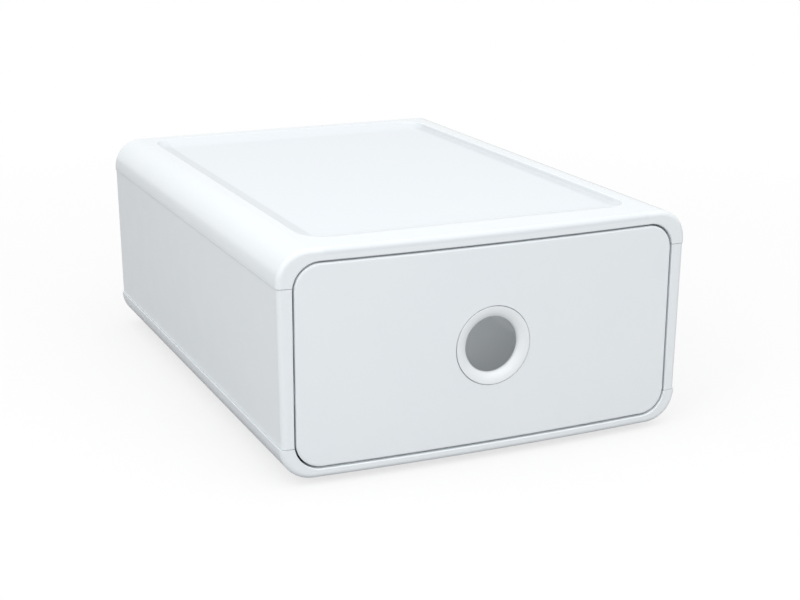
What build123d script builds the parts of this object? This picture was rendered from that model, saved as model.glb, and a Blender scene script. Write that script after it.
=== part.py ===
"""Stackable drawer box: a moulded casing of five pieces on four feet, and one drawer with a finger hole.

Millimetres, +Z up. The origin is under the middle of the box, on the surface that the feet stand on.
The front faces -Y and is bowed in plan. The drawer is modelled closed and opens toward -Y.
"""
from math import atan, degrees, sqrt, tan
from build123d import *
import os

os.makedirs("parts", exist_ok=True)

# Casing
casing_width = 265.0          # across the lower rim of the top cover
casing_depth = 350.0          # from the front corners to the back face
casing_height = 136.0         # from the underside of the base to the top of the cover
front_bow = 4.5               # how far the middle of the front stands ahead of its corners
wall = 2.4                    # moulded wall of every casing piece
cover_height = 21.8           # depth of the top cover, seam to top
cover_corner = 19.4           # rolled long edges of the top cover
base_height = 19.5            # depth of the base, underside to seam
base_corner = 19.8            # rolled long edges of the base
cover_overhang = 0.5          # how far the cover stands proud of the side panels
panel_draft = 1.3             # how much each side panel leans in from its top to its foot
base_ledge = 1.1              # how far the rim of the base stands proud of the side panels
seam_gap = 0.25               # open line between the panels and the two shells
front_round = 3.0             # rounding of the casing's front edges
back_round = 0.8              # rounding of the casing's back edges

# Front opening
stile = 9.1                   # width of the casing's front beside the opening
opening_bottom = 5.5          # above the underside of the base
opening_top_lip = 7.6         # height of the lip above the opening
opening_corner = 16.5
opening_edge = 0.5            # the opening's front edges are broken by this much
opening_return = 8.0          # depth of the inner wall round the opening, behind the front corners
return_wall = 2.0

# Stacking recess in the top of the cover
recess_side_margin = 25.5
recess_front_margin = 18.5    # behind the front corners
recess_back_margin = 9.0
recess_depth = 3.5
recess_corner = 20.0
recess_side_run = 1.3         # how far each side wall of the recess leans in
recess_ramp = 17.0            # length of the slope at each end of the recess
recess_ramp_round = 40.0      # rounding between the floor and the ramps
recess_floor_round = 2.4      # rounding between the floor and the walls
recess_edge_round = 0.8

# Feet
foot_standoff = 4.0
foot_diameter = 16.0
foot_play = 2.0               # sideways room of a foot in the recess of a box below
foot_seat = 0.6               # depth of the round seat that holds a foot in the base
foot_stem = 6.0
foot_stem_end = 0.8           # how far the stem stands above the floor of the base
foot_clearance = 0.1

# Stiffening of the flat walls
rib_thickness = 1.4
rib_height = 2.0
swage_depth = 1.2
swage_margin = 26.0

# Snap tongues between the panels and the two shells
side_flange = 9.6             # inner rim of the cover and of the base, along the sides
back_flange = 7.0             # the same, along the back
flange_height = 2.2
tongue_length = 16.0
tongue_thickness = 1.6
tongue_reach = 5.0            # past the seam
tongue_hook = 0.7
tongue_clearance = 0.3
tongue_strip = 1.2            # rim left between a slot and the outer wall
side_tongues = 4
back_tongues = 3

# Drawer
front_gap = 1.2               # open line between the drawer front and the opening
front_recess = 0.3            # how far the drawer front lies behind the casing's lip
front_plate = 2.6
front_skirt = 2.2
front_edge_round = 1.2
front_to_tray = 6.3           # from the middle of the drawer front to the front wall of the tray
tray_wall = 2.2
tray_foot_room = 6.4          # from the foot of a tray wall to the side of the opening
tray_rim_room = 3.4           # from the top of a tray wall to the side of the opening
tray_rim_flange = 2.2
tray_rim_height = 2.0
tray_corner = 12.0
tray_back_room = 14.0         # from the back of the tray to the back face of the casing
tray_plate_margin = 0.4       # how far the tray's front wall lies inside the drawer front's outline
rail_clearance = 0.9          # from the rim of the tray to the rail above it
sill_clearance = 0.8          # from the sill of the opening to the underside of the tray
slide_clearance = 0.3
runner_width = 3.0
runner_spacing = 160.0
closing_stop_height = 14.0
closing_stop_reach = 2.4

# Clips between the drawer front and the tray
clip_width = 12.0
clip_thickness = 2.0
clip_hook = 1.0
clip_clearance = 0.3
clip_spacing_x = 180.0
clip_spacing_z = 76.0

# Finger ring
ring_diameter = 47.8
ring_bore = 33.9
ring_drop = 0.4               # how far the ring sits below the middle of the opening
ring_mouth_depth = 3.2        # from the drawer front to the narrowest place
ring_proud = 0.3              # how far the rim stands out of the drawer front
ring_flange = 2.2
ring_lip = 0.6                # straight land at the narrow end of the mouth
ring_skirt = 1.6              # wall of the skirt that snaps into the drawer front
ring_boss = 2.0               # wall of the drawer front round the ring
ring_clearance = 0.4
ring_shoulder = 2.0
ring_bead = 0.8
ring_beads = 4
ring_bead_angle = 24.0

# Drawer travel
drawer_travel = 255.0
stop_tab_width = 18.0
stop_tab_height = 7.5
stop_spacing = 140.0
stop_clearance = 0.5
stop_thickness = 3.0
stop_gusset = 11.0

# Places that follow from the sizes above
half_width = casing_width / 2
nose_y = -(casing_depth + front_bow) / 2
corner_y = nose_y + front_bow
back_y = corner_y + casing_depth
bow_radius = (half_width ** 2 + front_bow ** 2) / (2 * front_bow)
base_z = foot_standoff
top_z = base_z + casing_height
cover_seam_z = top_z - cover_height
base_seam_z = base_z + base_height
panel_top_x = half_width - cover_overhang
panel_foot_x = panel_top_x - panel_draft
base_half_width = panel_foot_x + base_ledge
opening_width = casing_width - 2 * stile
opening_low_z = base_z + opening_bottom
opening_high_z = top_z - opening_top_lip
opening_height = opening_high_z - opening_low_z
opening_mid_z = (opening_low_z + opening_high_z) / 2
return_y = corner_y + opening_return
recess_width = casing_width - 2 * recess_side_margin
recess_low_z = top_z - recess_depth
front_width = opening_width - 2 * front_gap
front_height = opening_height - 2 * front_gap
front_corner = opening_corner - front_gap
front_y = nose_y + front_recess
tray_front_y = front_y + front_to_tray
tray_inside_y = tray_front_y + tray_wall
tray_back_y = back_y - tray_back_room
tray_low_z = opening_low_z + sill_clearance
tray_rim_z = cover_seam_z - rail_clearance
tray_floor_width = opening_width - 2 * tray_foot_room
tray_rim_width = opening_width - 2 * tray_rim_room
tray_heel = opening_corner - tray_foot_room   # rounding of the tray's foot, inside the opening's corner
ring_z = opening_mid_z - ring_drop
skirt_radius = ring_diameter / 2 - ring_clearance - ring_shoulder
cover_slot_x = half_width - wall - tongue_strip - tongue_clearance
base_slot_x = base_half_width - wall - tongue_strip - tongue_clearance
back_slot_y = back_y - wall - tongue_strip - tongue_clearance
run_on = 30.0                 # how far an envelope runs past its seam before it is trimmed
far = 400.0                   # longer than the whole box, for cutting tools


def front_line(x):
    """Where the bowed front lies at a distance x from the middle."""
    return nose_y + bow_radius - sqrt(bow_radius ** 2 - x ** 2)


def panel_x(z):
    """The outer face of a side panel at a height."""
    return panel_foot_x + panel_draft * (z - base_seam_z) / (cover_seam_z - base_seam_z)


def spread(count, first, last):
    """Evenly spaced places."""
    return [first + (last - first) * step / (count - 1) for step in range(count)]


def block(x0, x1, y0, y1, z0, z1):
    """A square block between two corners."""
    return Pos((x0 + x1) / 2, (y0 + y1) / 2, (z0 + z1) / 2) * Box(x1 - x0, y1 - y0, z1 - z0)


def between(bottom, top):
    """Everything between two heights, as a cutting tool."""
    return block(-far, far, -far, far, bottom, top)


def along_depth(section, front, back):
    """A front view, drawn as x and z, carried from front to back."""
    return extrude(Plane((0, back, 0), x_dir=(1, 0, 0), z_dir=(0, -1, 0)) * section, back - front)


def bowed_block(inset, back, bottom, top):
    """A block wider than the casing whose front follows the bowed front, set back by inset."""
    side = half_width + 5
    left = (-side, front_line(side) + inset)
    nose = (0, nose_y + inset)
    right = (side, front_line(side) + inset)
    outline = ThreePointArc(left, nose, right)
    outline += Polyline(right, (side, back), (-side, back), left)
    return Pos(0, 0, bottom) * extrude(make_face(outline), top - bottom, dir=(0, 0, 1))


def rolled_section(half, bottom, top, corner, upper):
    """Front view of a shell with two rounded corners, above or below."""
    section = Pos(0, (bottom + top) / 2) * Rectangle(2 * half, top - bottom)
    rows = section.vertices().group_by(Axis.Y)
    return fillet(rows[-1] if upper else rows[0], corner)


def rolled_shell(half, bottom, top, corner, upper):
    """A shell with rolled long edges, open toward the panels, with its front and back edges rounded."""
    low = bottom if not upper else bottom - run_on
    high = top if upper else top + run_on
    outer = along_depth(rolled_section(half, low, high, corner, upper), nose_y - 1, back_y)
    outer &= bowed_block(0, back_y, low, high)
    kept = slice(1, None) if upper else slice(0, -1)
    outer = fillet(outer.faces().sort_by(Axis.Y)[0].edges().sort_by(Axis.Z)[kept], front_round)
    outer = fillet(outer.faces().sort_by(Axis.Y)[-1].edges().sort_by(Axis.Z)[kept], back_round)
    outer = with_opening(outer) & between(bottom, top)
    inner_low = bottom + wall if not upper else bottom - 1
    inner_high = top - wall if upper else top + 1
    section = rolled_section(half - wall, inner_low, inner_high, corner - wall, upper)
    inner = along_depth(section, nose_y, back_y - wall)
    inner &= bowed_block(wall, back_y - wall, inner_low, inner_high)
    return outer, inner


def opening_outline(margin):
    """Front view of the opening, wider all round by margin."""
    width = opening_width + 2 * margin
    height = opening_height + 2 * margin
    return Pos(0, opening_mid_z) * RectangleRounded(width, height, opening_corner + margin)


def opening_cut():
    """What the front opening takes out of the front walls."""
    return along_depth(opening_outline(0), nose_y - 10, return_y + 0.5)


def with_opening(shell):
    """A solid shell with the front opening cut into it, the opening's front edges broken."""
    cut = shell - opening_cut()
    front = cut.faces().sort_by(Axis.Y)[0]
    edges = [e for e in front.edges() if abs(e.center().X) < opening_width / 2 + 0.1]
    edges = [e for e in edges if opening_low_z - 0.1 < e.center().Z < opening_high_z + 0.1]
    return chamfer(edges, opening_edge)


def opening_return_wall(bottom, top):
    """The inner wall round the opening, between two heights."""
    ring = along_depth(opening_outline(return_wall) - opening_outline(0), nose_y - 10, return_y)
    return ring & bowed_block(wall / 2, return_y, bottom, top)


def tongue(seam_z, slot_x, up):
    """A snap tongue at +X that reaches past a seam, with its hook toward the middle of the box."""
    inner_x = slot_x - tongue_thickness
    tip_z = seam_z + tongue_reach * up
    edge_z = seam_z - seam_gap * up
    root_z = edge_z - tongue_reach * up
    hook_z = seam_z + (flange_height + tongue_clearance / 2) * up
    half = tongue_length / 2
    arm = block(inner_x, slot_x, -half, half, min(root_z, tip_z), max(root_z, tip_z))
    root = block(inner_x, slot_x + 2 * tongue_strip, -half, half, min(root_z, edge_z), max(root_z, edge_z))
    nose = Polyline((inner_x, hook_z), (inner_x - tongue_hook, hook_z), (inner_x, tip_z), close=True)
    return arm + root + along_depth(make_face(nose), -half, half)


def tongue_slot(seam_z, slot_x, up):
    """The slot in a rim that a tongue passes through."""
    far_z = seam_z + (flange_height + 0.5) * up
    near_z = seam_z - 0.5 * up
    half = tongue_length / 2 + tongue_clearance
    inner_x = slot_x - tongue_thickness - tongue_clearance
    return block(inner_x, slot_x + tongue_clearance, -half, half, min(near_z, far_z), max(near_z, far_z))


def side_copies(piece):
    """Copies of a tongue or slot along the right side."""
    return [Pos(0, y, 0) * piece for y in spread(side_tongues, return_y + 30, back_y - 35)]


def back_copies(piece):
    """Copies of a tongue or slot along the back, turned from +X to +Y."""
    reach = 0.6 * half_width
    return [Pos(x, 0, 0) * Rot(0, 0, 90) * piece for x in spread(back_tongues, -reach, reach)]


def rim(seam_z, inner_x, slot_x, up):
    """The inner rim of a shell along both sides and the back, with the slots for the tongues."""
    low = min(seam_z, seam_z + flange_height * up)
    front = return_y + 6
    inside = back_y - wall
    rim_body = block(-inner_x - 0.6, inner_x + 0.6, front, inside + 0.6, low, low + flange_height)
    hole_x = inner_x - side_flange
    rim_body -= block(-hole_x, hole_x, front - 1, inside - back_flange, low - 1, low + flange_height + 1)
    for slot in side_copies(tongue_slot(seam_z, slot_x, up)):
        rim_body -= slot
        rim_body -= mirror(slot, about=Plane.YZ)
    for slot in back_copies(tongue_slot(seam_z, back_slot_y, up)):
        rim_body -= slot
    return rim_body


def recess_space(grow, drop, foot_round):
    """The space of the stacking recess, made wider all round by grow and lowered by drop."""
    front = corner_y + recess_front_margin - grow
    back = back_y - recess_back_margin + grow
    low = recess_low_z - drop
    top = top_z - drop
    over = 1.5                # the space runs on above the top, so that its lower edges can be rounded
    run = over * recess_ramp / recess_depth
    side_view = Polyline(
        (front - run, top + over),
        (front + recess_ramp, low),
        (back - recess_ramp, low),
        (back + run, top + over),
        close=True,
    )
    side_view = make_face(side_view)
    side_view = fillet(side_view.vertices().group_by(Axis.Y)[0], recess_ramp_round)
    trough = extrude(Plane((-half_width, 0, 0), x_dir=(0, 1, 0), z_dir=(1, 0, 0)) * side_view, casing_width)
    lean = recess_side_run / recess_depth
    wider = over * lean
    outline = RectangleRounded(
        recess_width + 2 * (grow + wider),
        back - front + 2 * wider,
        recess_corner + grow + wider,
    )
    walls = Pos(0, (front + back) / 2, top + over) * outline
    space = trough & extrude(walls, recess_depth + over + 1, dir=(0, 0, -1), taper=degrees(atan(lean)))
    if foot_round:
        lower = [f for f in space.faces() if f.normal_at().Z < -0.9]
        edges = [e for f in lower for e in f.edges()]
        seams = [e for e in edges if abs(e.center().X) < 1 and front + 2 < e.center().Y < back - 2]
        space = fillet([e for e in edges if e not in seams], foot_round)
    return space


def stop_rib(x):
    """A rib under the cover that the drawer's stop tab meets at full travel, with its gusset."""
    rear = tray_back_y - tray_wall - drawer_travel - stop_clearance
    front = rear - stop_thickness
    under = recess_low_z - wall + 0.3
    low = tray_rim_z + 2.5
    half = stop_tab_width / 2 + 3
    rib = block(x - half, x + half, front, rear, low, under)
    side_view = make_face(Polyline((front, low), (front, under), (front - stop_gusset, under), close=True))
    plane = Plane((x - stop_thickness / 2, 0, 0), x_dir=(0, 1, 0), z_dir=(1, 0, 0))
    return rib + extrude(plane * side_view, stop_thickness)


def top_cover():
    """The upper shell: rolled long edges, the lip above the opening, the recess, ribs and stops."""
    outer, inner = rolled_shell(half_width, cover_seam_z, top_z, cover_corner, True)
    cover = outer - recess_space(0, 0, recess_floor_round)
    rims = cover.edges().filter_by_position(Axis.Z, top_z - 0.01, top_z + 0.01)
    rims = rims.filter_by_position(Axis.X, -recess_width / 2 - 0.1, recess_width / 2 + 0.1)
    first = corner_y + recess_front_margin - 1
    rims = rims.filter_by_position(Axis.Y, first, back_y - recess_back_margin + 1)
    cover = fillet(rims, recess_edge_round)
    cover -= inner - recess_space(wall, wall, 0)
    cover += rim(cover_seam_z, half_width - wall, cover_slot_x, 1) & outer
    cover += opening_return_wall(cover_seam_z, top_z - wall / 2)
    under = recess_low_z - wall
    for x in (-0.36, -0.13, 0.13, 0.36):
        place = x * casing_width
        cover += block(place - rib_thickness / 2, place + rib_thickness / 2, return_y + 60, back_y - 60,
                       under - rib_height, under + 0.3)
    for side in (-1, 1):
        cover += stop_rib(side * stop_spacing / 2)
    return cover


def foot_places():
    """The four feet, set inside the floor of the recess of a box below."""
    inside = foot_play + foot_diameter / 2
    slope_end = recess_ramp + recess_ramp_round * tan(atan(recess_depth / recess_ramp) / 2)
    x = recess_width / 2 - recess_side_run - inside
    front = corner_y + recess_front_margin + slope_end + inside
    back = back_y - recess_back_margin - slope_end - inside
    return {
        "foot_front_left": (-x, front),
        "foot_front_right": (x, front),
        "foot_back_left": (-x, back),
        "foot_back_right": (x, back),
    }


def base():
    """The lower shell: rolled long edges, the sill of the opening, the runners and the foot seats."""
    outer, inner = rolled_shell(base_half_width, base_z, base_seam_z, base_corner, False)
    shell = outer - inner
    shell += rim(base_seam_z, base_half_width - wall, base_slot_x, -1) & outer
    shell += opening_return_wall(base_z + wall / 2, base_seam_z)
    floor_z = base_z + wall
    front = return_y + swage_margin
    back = back_y - wall - back_flange - swage_margin
    swage = RectangleRounded(runner_spacing - swage_margin, back - front, tray_corner)
    swage = Pos(0, (front + back) / 2, 0) * swage
    shell += Pos(0, 0, floor_z - 0.5) * extrude(swage, swage_depth + 0.5, dir=(0, 0, 1))
    pressed = offset(swage, -wall / 2)
    shell -= Pos(0, 0, base_z - 1) * extrude(pressed, swage_depth + 1, dir=(0, 0, 1))
    for side in (-1, 1):
        x = side * runner_spacing / 2
        low = x - runner_width / 2
        shell += block(low, low + runner_width, return_y + 4, back_y - wall - back_flange,
                       floor_z - 0.5, tray_low_z - slide_clearance)
    for x, y in foot_places().values():
        shell -= Pos(x, y, base_z) * Cylinder(foot_diameter / 2 + foot_clearance, 2 * foot_seat)
        shell -= Pos(x, y, base_z) * Cylinder(foot_stem / 2 + foot_clearance, 4 * wall)
    return shell


def foot(x, y):
    """A soft foot: a disc in its seat, with a stem pressed through the base."""
    radius = foot_diameter / 2
    stem = foot_stem / 2
    shoulder = foot_standoff + foot_seat
    outline = Polyline(
        (0, 0),
        (radius, 0),
        (radius, shoulder),
        (stem, shoulder),
        (stem, foot_standoff + wall + foot_stem_end),
        (0, foot_standoff + wall + foot_stem_end),
        close=True,
    )
    return Pos(x, y, 0) * revolve(Plane.XZ * make_face(outline), Axis.Z)


def leaning_section(inset, low, high, left):
    """Front view of the space inside a side panel's outer face, from x = left outward."""
    points = [(left, low), (panel_x(low) - inset, low), (panel_x(high) - inset, high), (left, high)]
    return make_face(Polyline(*points, close=True))


def side_panel():
    """The right side panel: a leaning plate whose front end turns round to frame the opening."""
    low = base_seam_z + seam_gap
    high = cover_seam_z - seam_gap
    outer = along_depth(leaning_section(0, low - run_on, high + run_on, 0), nose_y - 1, back_y)
    outer &= bowed_block(0, back_y, low - run_on, high + run_on)
    outer = fillet(outer.faces().sort_by(Axis.Y)[0].edges().sort_by(Axis.X)[-1], front_round)
    outer = fillet(outer.faces().sort_by(Axis.Y)[-1].edges().sort_by(Axis.X)[-1], back_round)
    outer = with_opening(outer) & between(low, high)
    inner = along_depth(leaning_section(wall, low - 1, high + 1, -1), nose_y - 1, back_y + 1)
    inner &= bowed_block(wall, back_y + 1, low - 1, high + 1)
    panel = outer - inner
    panel += opening_return_wall(low, high) & block(0, half_width, -far, far, low, high)
    lap_y = back_y - wall - seam_gap
    for z in spread(4, low, high)[1:-1]:
        inside = panel_x(z) - wall
        panel += block(inside - rib_height, inside + 0.4, return_y + 4, lap_y - 10,
                       z - rib_thickness / 2, z + rib_thickness / 2)
    lap = leaning_section(wall - 0.3, low, high, panel_foot_x - wall - 4)
    panel += along_depth(lap, lap_y - rib_thickness, lap_y)
    stop_y = tray_inside_y + slide_clearance
    for z in spread(4, base_seam_z, cover_seam_z)[1:-1]:
        inside = opening_width / 2
        panel += block(inside - closing_stop_reach, inside + 0.5, stop_y, return_y,
                       z - closing_stop_height / 2, z + closing_stop_height / 2)
    for piece in side_copies(tongue(cover_seam_z, cover_slot_x, 1)):
        panel += piece
    for piece in side_copies(tongue(base_seam_z, base_slot_x, -1)):
        panel += piece
    return panel


def back_panel():
    """The plate that closes the back, between the two side panels."""
    low = base_seam_z + seam_gap
    high = cover_seam_z - seam_gap
    half = leaning_section(wall + seam_gap, low, high, 0)
    plate = along_depth(half, back_y - wall, back_y)
    panel = plate + mirror(plate, about=Plane.YZ)
    margin = swage_margin
    middle = (low + high) / 2
    swage = RectangleRounded(casing_width - 3 * margin, high - low - 1.5 * margin, tray_corner)
    swage = Pos(0, middle) * swage
    panel += along_depth(swage, back_y - wall - swage_depth, back_y - wall / 2)
    panel -= along_depth(offset(swage, -wall / 2), back_y - swage_depth, back_y + 1)
    for piece in back_copies(tongue(cover_seam_z, back_slot_y, 1)):
        panel += piece
    for piece in back_copies(tongue(base_seam_z, back_slot_y, -1)):
        panel += piece
    return panel


def tray_space(inset, front, top):
    """The tapered body of the tray, made narrower by inset and cut off square at its front."""
    low_z = tray_low_z + inset
    lead = 20.0
    lean = (tray_rim_width - tray_floor_width) / 2
    taper = degrees(atan(lean / (tray_rim_z - tray_low_z)))
    start = front - lead
    back = tray_back_y - inset - lean
    outline = RectangleRounded(tray_floor_width - 2 * inset, back - start, tray_corner - inset / 2)
    low = Pos(0, (start + back) / 2, low_z) * outline
    body = extrude(low, top - low_z, dir=(0, 0, 1), taper=-taper)
    body = fillet(body.edges().group_by(Axis.Z)[0], tray_heel - inset)
    return body & block(-far, far, front, far, 0, far)


def clip_places():
    across = clip_spacing_x / 2
    high = clip_spacing_z / 2
    return [(x * across, opening_mid_z + z * high) for x in (-1, 1) for z in (-1, 1)]


def drawer_tray():
    """The open tray: tapered walls, a rim, a full front wall for the drawer front, and two stop tabs."""
    tray = tray_space(0, tray_front_y, tray_rim_z)
    width = tray_rim_width + 2 * tray_rim_flange
    back = tray_back_y + tray_rim_flange
    lead = tray_front_y - 20
    band = RectangleRounded(width, back - lead, tray_corner)
    band = Pos(0, (lead + back) / 2, tray_rim_z - tray_rim_height) * band
    tray += extrude(band, tray_rim_height, dir=(0, 0, 1)) & block(-far, far, tray_front_y, far, 0, far)
    outline = RectangleRounded(
        front_width - 2 * tray_plate_margin,
        front_height - 2 * tray_plate_margin,
        front_corner - tray_plate_margin,
    )
    tray += along_depth(Pos(0, opening_mid_z) * outline, tray_front_y, tray_inside_y)
    tray -= tray_space(tray_wall, tray_inside_y, tray_rim_z + 1)
    for side in (-1, 1):
        x = side * stop_spacing / 2
        tray += block(x - stop_tab_width / 2, x + stop_tab_width / 2, tray_back_y - tray_wall, tray_back_y,
                      tray_rim_z - tray_rim_height, tray_rim_z + stop_tab_height)
    hole = Pos(0, ring_z) * Circle(skirt_radius + ring_bead + ring_clearance)
    tray -= along_depth(hole, tray_front_y - 5, tray_inside_y + 5)
    half = clip_width / 2 + clip_clearance
    high = clip_thickness / 2 + clip_clearance
    for x, z in clip_places():
        tray -= block(x - half, x + half, tray_front_y - 5, tray_inside_y + 5, z - high, z + high)
    return tray


def clip(x, z):
    """A hooked clip on the back of the drawer front, through its slot in the tray."""
    start = front_y + front_plate / 2 + front_bow / 2
    tip = tray_inside_y + 2.2
    top = z + clip_thickness / 2
    arm = block(x - clip_width / 2, x + clip_width / 2, start, tip, top - clip_thickness, top)
    hook_y = tray_inside_y + clip_clearance / 2
    side_view = make_face(Polyline((hook_y, top), (hook_y, top + clip_hook), (tip, top), close=True))
    plane = Plane((x - clip_width / 2, 0, 0), x_dir=(0, 1, 0), z_dir=(1, 0, 0))
    return arm + extrude(plane * side_view, clip_width)


def drawer_front():
    """The bowed front: a plate with a skirt round its edge, a seat for the ring, ribs and four clips."""
    outline = RectangleRounded(front_width, front_height, front_corner)
    inside = RectangleRounded(
        front_width - 2 * front_skirt,
        front_height - 2 * front_skirt,
        front_corner - front_skirt,
    )
    outer = along_depth(Pos(0, opening_mid_z) * outline, nose_y - 1, tray_front_y)
    outer &= bowed_block(front_recess, tray_front_y, 0, far)
    outer = fillet(outer.faces().sort_by(Axis.Y)[0].edges(), front_edge_round)
    hollow = along_depth(Pos(0, opening_mid_z) * inside, nose_y - 1, tray_front_y + 1)
    hollow &= bowed_block(front_recess + front_plate, tray_front_y + 1, 0, far)
    front = outer - hollow
    for side in (-1, 1):
        x = side * front_width / 4
        rib = block(x - rib_thickness / 2, x + rib_thickness / 2, nose_y, tray_front_y,
                    opening_mid_z - front_height / 2 + 1, opening_mid_z + front_height / 2 - 1)
        front += rib & bowed_block(front_recess + front_plate / 2, tray_front_y, 0, far)
    seat_radius = ring_diameter / 2 + ring_clearance
    seat_y = front_y - ring_proud + ring_flange
    at_ring = Pos(0, ring_z)
    boss = along_depth(at_ring * Circle(seat_radius + ring_boss), nose_y, tray_front_y)
    front += boss & bowed_block(front_recess + front_plate / 2, tray_front_y, 0, far)
    front -= along_depth(at_ring * Circle(seat_radius), nose_y - 5, seat_y)
    front -= along_depth(at_ring * Circle(skirt_radius + ring_clearance / 2), nose_y - 5, tray_front_y + 1)
    front -= along_depth(at_ring * Circle(seat_radius), seat_y + ring_shoulder, tray_front_y + 1)
    for x, z in clip_places():
        front += clip(x, z)
    return front


def finger_ring():
    """The bell-mouthed ring, drawn as radius and depth, with a skirt and snap beads behind the shoulder."""
    radius = ring_diameter / 2
    bore = ring_bore / 2
    rim_z = ring_proud
    under_z = rim_z - ring_flange
    lip_z = -ring_mouth_depth - ring_lip
    end_z = under_z - ring_shoulder - 2.6
    inside = skirt_radius - ring_skirt
    bell = EllipticalCenterArc(
        (radius, -ring_mouth_depth),
        radius - bore,
        ring_mouth_depth + ring_proud,
        start_angle=90,
        arc_size=90,
    )
    rest = Polyline(
        (bore, -ring_mouth_depth),
        (bore, lip_z),
        (inside, lip_z),
        (inside, end_z),
        (skirt_radius, end_z),
        (skirt_radius, under_z),
        (radius, under_z),
        (radius, rim_z),
    )
    body = revolve(Plane.XZ * make_face(bell + rest), Axis.Z)
    bead_top = under_z - ring_shoulder - ring_clearance / 4
    bead_outline = Polyline(
        (skirt_radius - 0.5, bead_top),
        (skirt_radius + ring_bead, bead_top),
        (skirt_radius, bead_top - 1.6),
        (skirt_radius - 0.5, bead_top - 1.6),
        close=True,
    )
    bead = revolve(Plane.XZ * make_face(bead_outline), Axis.Z, ring_bead_angle)
    for step in range(ring_beads):
        body += Rot(0, 0, 45 - ring_bead_angle / 2 + step * 360 / ring_beads) * bead
    return Pos(0, front_y, ring_z) * Rot(90, 0, 0) * body


def build():
    """Every piece of the box under its node name."""
    right = side_panel()
    pieces = {
        "top_cover": top_cover(),
        "base": base(),
        "right_side_panel": right,
        "left_side_panel": mirror(right, about=Plane.YZ),
        "back_panel": back_panel(),
        "drawer_tray": drawer_tray(),
        "drawer_front": drawer_front(),
        "finger_ring": finger_ring(),
    }
    for name, (x, y) in foot_places().items():
        pieces[name] = foot(x, y)
    return pieces


for name, piece in build().items():
    export_step(piece, f"parts/{name}.step")
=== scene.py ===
from math import cos, radians, sin
import bpy
from mathutils import Matrix, Vector


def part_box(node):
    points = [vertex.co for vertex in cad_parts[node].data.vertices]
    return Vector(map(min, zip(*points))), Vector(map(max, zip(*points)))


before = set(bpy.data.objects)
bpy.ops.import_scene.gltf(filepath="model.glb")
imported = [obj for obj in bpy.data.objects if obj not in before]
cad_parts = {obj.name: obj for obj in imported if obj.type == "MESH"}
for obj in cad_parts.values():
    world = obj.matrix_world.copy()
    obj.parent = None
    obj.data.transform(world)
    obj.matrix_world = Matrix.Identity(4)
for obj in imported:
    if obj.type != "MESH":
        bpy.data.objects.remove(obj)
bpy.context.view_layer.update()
bpy.ops.object.select_all(action="DESELECT")
print("frame loaded:", len(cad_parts), "nodes")


class Value:                       # a shader socket that takes part in sums
    def __init__(self, tree, out):
        self.tree = tree
        self.out = out

    def math(self, operation, *terms):
        node = self.tree.nodes.new("ShaderNodeMath")
        node.operation = operation
        for place, term in enumerate(terms):
            if isinstance(term, Value):
                self.tree.links.new(term.out, node.inputs[place])
            else:
                node.inputs[place].default_value = term
        return Value(self.tree, node.outputs[0])

    def __add__(self, other):
        return self.math("ADD", self, other)

    def __radd__(self, other):
        return self.math("ADD", other, self)

    def __sub__(self, other):
        return self.math("SUBTRACT", self, other)

    def __rsub__(self, other):
        return self.math("SUBTRACT", other, self)

    def __mul__(self, other):
        return self.math("MULTIPLY", self, other)

    def __rmul__(self, other):
        return self.math("MULTIPLY", other, self)

    def __abs__(self):
        return self.math("ABSOLUTE", self)

    def clamp(self):
        low = self.math("MAXIMUM", self, 0.0)
        return low.math("MINIMUM", low, 1.0)

    def above(self, edge, soft):   # 0 below the edge, 1 above it, changing over the length soft
        return ((self - (edge - soft / 2)) * (1 / soft)).clamp()

    def below(self, edge, soft):
        return 1 - self.above(edge, soft)


class Finish:                      # one material and its nodes
    def __init__(self, name):
        self.material = bpy.data.materials.new(name)
        self.material.use_nodes = True
        self.tree = self.material.node_tree
        self.tree.nodes.clear()
        self.place = self.node("TexCoord", out="Object")

    def node(self, kind, settings=None, sockets=None, out=0):
        made = self.tree.nodes.new("ShaderNode" + kind)
        for name, value in (settings or {}).items():
            setattr(made, name, value)
        for name, value in (sockets or {}).items():
            if isinstance(value, Value):
                self.tree.links.new(value.out, made.inputs[name])
            else:
                made.inputs[name].default_value = value
        return Value(self.tree, made.outputs[out] if made.outputs else None)

    def axes(self, *names):        # the named coordinates of the place on the piece, in metres
        return [self.node("SeparateXYZ", None, {0: self.place}, name) for name in names]

    def noise(self, scale, detail, rough, stretch=(1, 1, 1)):
        spot = self.node("Mapping", None, {0: self.place, "Scale": stretch})
        sockets = {"Vector": spot, "Scale": scale, "Detail": detail, "Roughness": rough}
        return self.node("TexNoise", None, sockets)

    def mix(self, factor, first, second):
        return self.node("Mix", {"data_type": "RGBA"}, {0: factor, 6: first, 7: second}, 2)

    def bump(self, height, strength, distance, under):
        sockets = {"Height": height, "Strength": strength, "Distance": distance, "Normal": under}
        return self.node("Bump", None, sockets)

    def end(self, surface):
        self.node("OutputMaterial", None, {"Surface": surface})
        return self.material


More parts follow.
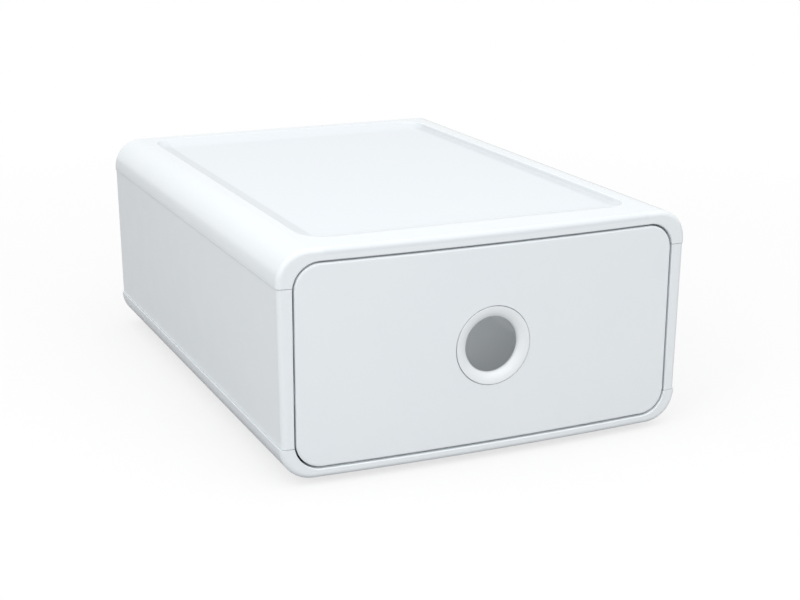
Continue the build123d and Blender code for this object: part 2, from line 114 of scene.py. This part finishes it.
casingLook = {
    "colour": (0.855, 0.893, 0.912, 1),
    "shade": (0.822, 0.868, 0.893, 1),  # where the wall is a little thicker and the plastic looks cooler
    "satinShade": (0.79, 0.832, 0.862, 1),    # painted shade: the darker colour of the recess floor, where the skin has a fine satin texture
    "paintedShade": (0.69, 0.725, 0.75, 1),     # painted shade: grey where the walls of the recess meet its floor
    "polished": 0.19,                   # roughness of the plain skin
    "satin": 0.42,                      # roughness of the satin skin
    "smudged": 0.05,                    # roughness that smudges add
    "clouded": 0.03,                    # roughness that wide, faint patches add
    "ior": 1.47,
    "edge": 0.00045,                    # sharp edges are softened to this radius
    "edgeSamples": 6,
    "flow": {"scale": 9, "detail": 3, "rough": 0.55, "stretch": (1, 0.45, 1.3)},  # waves left by the melt
    "cloud": {"scale": 26, "detail": 4, "rough": 0.6},
    "smudge": {"scale": 55, "detail": 5, "rough": 0.62},
    "grain": {"scale": 2600, "detail": 2, "rough": 0.6},
    "flowShare": 0.7,                   # of the flow in the colour's tone, and then of the cloud
    "cloudShare": 0.3,
    "toneStep": (0.5, 0.5),             # where the shade gives way to the colour, and how softly
    "smudgeStep": (0.62, 0.3),
    "paintedShadeLeast": 0.75,                  # the faintest painted shade along the recess walls, and what the cloud adds to it
    "paintedShadeCloud": 0.3,
    "waves": {"strength": 0.12, "distance": 0.0012},
    "skin": {"strength": 0.1, "distance": 0.00004},
}


def mouldedPlastic(name, look, satinAndShadeMask=None, paintedShadeMask=None):
    finish = Finish(name)
    flow, cloud, smudge, grain = (finish.noise(**look[kind]) for kind in ("flow", "cloud", "smudge", "grain"))
    tone = (flow * look["flowShare"] + cloud * look["cloudShare"]).above(*look["toneStep"])
    colour = finish.mix(tone, look["shade"], look["colour"])
    smudges = smudge.above(*look["smudgeStep"])
    rough = look["polished"] + smudges * look["smudged"] + cloud * look["clouded"]
    if satinAndShadeMask is not None:
        mask = satinAndShadeMask(finish)
        rough = rough + mask * (look["satin"] - look["polished"])
        # the satin floor is rougher, and its darker colour is painted shade
        colour = finish.mix(mask, colour, look["satinShade"])
    # painted shade along the recess walls, made patchy by the cloud
    if paintedShadeMask is not None:
        uneven = (look["paintedShadeLeast"] + cloud * look["paintedShadeCloud"]).clamp()
        colour = finish.mix(paintedShadeMask(finish) * uneven, colour, look["paintedShade"])
    edges = finish.node("Bevel", {"samples": look["edgeSamples"]}, {"Radius": look["edge"]})
    waves = finish.bump(flow, under=edges, **look["waves"])
    skin = finish.bump(grain, under=waves, **look["skin"])
    surface = finish.node("BsdfPrincipled", None, {
        "Base Color": colour,
        "Roughness": rough,
        "IOR": look["ior"],
        "Normal": skin,
    })
    return finish.end(surface)


recessLook = {                     # metres: each place, and the length over which the mask changes there
    "satin": (0.1055, 0.002),      # half the width of the satin floor
    "satinTop": (0.0002, 0.0004),  # its upper limit, below the top of the cover
    "wall": (0.1032, 0.0016),      # half the width between the side walls
    "foot": (0.1006, 0.0014),      # half the width between their rounded feet
    "shaded": (-0.0962, 0.0012),   # the left foot lies in its own shade out to here
    "rim": (0.1069, 0.0008),       # half the width between the upper edges
    "sidesTop": (0.0004, 0.0006),  # upper limit of the tint, below the top of the cover
    "bottom": (0.0045, 0.001),     # just under the floor, below the top of the cover
    "front": (-0.138, 0.02),
    "back": (0.158, 0.02),
    "wallTint": 0.35,
    "footTint": 0.65,
    "shadedTint": 0.8,
}


def recessBand(z, limit):          # 1 from a depth below the top of the cover down to the floor
    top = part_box("top_cover")[1][2]
    depth, soft = recessLook[limit]
    low, lowSoft = recessLook["bottom"]
    return z.below(top - depth, soft) * z.above(top - low, lowSoft)


def recessFloor(finish):           # 1 on the floor of the stacking recess, which has a fine satin texture and painted shade
    x, z = finish.axes("X", "Z")
    return abs(x).below(*recessLook["satin"]) * recessBand(z, "satinTop")


def recessPaintedShade(finish):           # up to 1 along the side walls of the recess and their feet, where shade is painted into the colour, wider on the left
    look = recessLook
    x, y, z = finish.axes("X", "Y", "Z")
    out = abs(x)
    foot = out.above(*look["wall"]) * look["wallTint"] + out.above(*look["foot"]) * look["footTint"]
    shaded = x.below(*look["shaded"]) * look["shadedTint"]
    wall = foot.math("MAXIMUM", foot, shaded) * out.below(*look["rim"])
    return wall * recessBand(z, "sidesTop") * y.above(*look["front"]) * y.below(*look["back"])


trayLook = dict(casingLook, colour=(0.85, 0.87, 0.88, 1), shade=(0.82, 0.84, 0.855, 1), polished=0.3)
ringLook = dict(casingLook, colour=(0.88, 0.895, 0.9, 1), polished=0.14)
rubberLook = dict(casingLook, colour=(0.36, 0.365, 0.37, 1), shade=(0.32, 0.325, 0.33, 1), polished=0.6)

materials = {
    "casing": mouldedPlastic("casingWhite", casingLook),
    "cover": mouldedPlastic("coverWhite", casingLook, recessFloor, recessPaintedShade),
    "tray": mouldedPlastic("trayWhite", trayLook),
    "ring": mouldedPlastic("ringWhite", ringLook),
    "rubber": mouldedPlastic("footRubber", rubberLook),
}

finishOf = {
    "top_cover": "cover",
    "base": "casing",
    "left_side_panel": "casing",
    "right_side_panel": "casing",
    "back_panel": "casing",
    "drawer_front": "casing",
    "drawer_tray": "tray",
    "finger_ring": "ring",
    "foot_front_left": "rubber",
    "foot_front_right": "rubber",
    "foot_back_left": "rubber",
    "foot_back_right": "rubber",
}
for node, finish in finishOf.items():
    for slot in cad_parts[node].material_slots:
        slot.material = materials[finish]
print("finishes on:", len(finishOf), "nodes")

stageLook = {
    "floor": 14.0,                      # edge of the square floor
    "pale": (0.88, 0.88, 0.88, 1),      # what the camera sees of the floor
    "bounce": (0.42, 0.42, 0.43, 1),    # what the floor throws back onto the box
    "near": 0.7,                        # share of plain white around the box, where its shadow lies
    "far": 1.0,
    "reach": 0.55,                      # where the one changes to the other
    "soft": 0.6,
}


def makeFloor(look):
    bpy.ops.mesh.primitive_plane_add(size=look["floor"], location=(0, 0, 0))
    floor = bpy.context.object
    floor.name = "studioFloor"
    finish = Finish("paleFloor")
    seen = finish.node("LightPath", out="Is Camera Ray")
    away = finish.node("VectorMath", {"operation": "LENGTH"}, {0: finish.place}, "Value")
    white = look["near"] + away.above(look["reach"], look["soft"]) * (look["far"] - look["near"])
    colour = finish.mix(seen, look["bounce"], look["pale"])
    diffuse = finish.node("BsdfDiffuse", None, {"Color": colour})
    plain = finish.node("Emission", None, {"Color": (1, 1, 1, 1), "Strength": 1.0})
    surface = finish.node("MixShader", None, {0: seen * white, 1: diffuse, 2: plain})
    floor.data.materials.append(finish.end(surface))


makeFloor(stageLook)

lightLook = {
    "daylight": 0.85,                   # strength of the white surroundings
    "overhead": {"place": (-0.2, -0.5, 1.3), "aim": (-0.05, -0.05, 0.1), "size": (2.2, 1.8), "power": 6.0},
    "front": {"place": (0.3, -1.7, 0.8), "aim": (0, 0, 0.07), "size": (1.4, 1.1), "power": 3.6},
    "left": {"place": (-1.4, -0.9, 0.9), "aim": (0, -0.1, 0.07), "size": (0.8, 1.2), "power": 5.5},
    "inside": {"place": (-0.03, 0.06, 0.13), "aim": (-0.03, 0.06, 0), "size": (0.06, 0.06), "power": 0.08},
}


def softLight(name, look):
    bpy.ops.object.light_add(type="AREA", location=look["place"])
    lamp = bpy.context.object
    lamp.name = name
    lamp.data.shape = "RECTANGLE"
    lamp.data.size, lamp.data.size_y = look["size"]
    lamp.data.energy = look["power"]
    toward = Vector(look["aim"]) - Vector(look["place"])
    lamp.rotation_euler = toward.to_track_quat("-Z", "Y").to_euler()
    return lamp


def whiteSurroundings(daylight):   # plain white to the camera, and a little weaker as light on the box
    world = bpy.data.worlds.new("studio")
    bpy.context.scene.world = world
    world.use_nodes = True
    tree = world.node_tree
    tree.nodes.clear()
    path = tree.nodes.new("ShaderNodeLightPath")
    seen = Value(tree, path.outputs["Is Camera Ray"]) + Value(tree, path.outputs["Is Transmission Ray"])
    strength = daylight + seen.clamp() * (1 - daylight)
    sky = tree.nodes.new("ShaderNodeBackground")
    sky.inputs["Color"].default_value = (1, 1, 1, 1)
    tree.links.new(strength.out, sky.inputs["Strength"])
    tree.links.new(sky.outputs[0], tree.nodes.new("ShaderNodeOutputWorld").inputs["Surface"])


for name in ("overhead", "front", "left"):
    softLight(name, lightLook[name])
insideLamp = softLight("inside", lightLook["inside"])   # for the daylight that gets through the thin cover
insideLamp.visible_camera = False
insideLamp.visible_glossy = False
whiteSurroundings(lightLook["daylight"])
print("lights set")

cameraLook = {
    "place": (-0.40813, -0.94681, 0.35742),
    "yaw": 23.672, "pitch": 16.728, "roll": 0.093,   # degrees: to the right, down, and about the view
    "lens": 70.31, "sensor": 36, "shift": (0.0212, 0.0040),
    "clip": 0.01,
}


def makeCamera(look):
    yaw, pitch, roll = (radians(look[name]) for name in ("yaw", "pitch", "roll"))
    ahead = Vector((sin(yaw) * cos(pitch), cos(yaw) * cos(pitch), -sin(pitch)))
    right = Vector((cos(yaw), -sin(yaw), 0))
    up = right.cross(ahead)
    across = right * cos(roll) + up * sin(roll)
    upward = -right * sin(roll) + up * cos(roll)
    turn = Matrix((across, upward, -ahead)).transposed().to_4x4()
    bpy.ops.object.camera_add()
    camera = bpy.context.object
    camera.matrix_world = Matrix.Translation(look["place"]) @ turn
    camera.data.sensor_width = look["sensor"]
    camera.data.lens = look["lens"]
    camera.data.shift_x, camera.data.shift_y = look["shift"]
    camera.data.clip_start = look["clip"]
    bpy.context.scene.camera = camera


makeCamera(cameraLook)
bpy.context.scene.view_settings.view_transform = "Standard"
print("camera set")
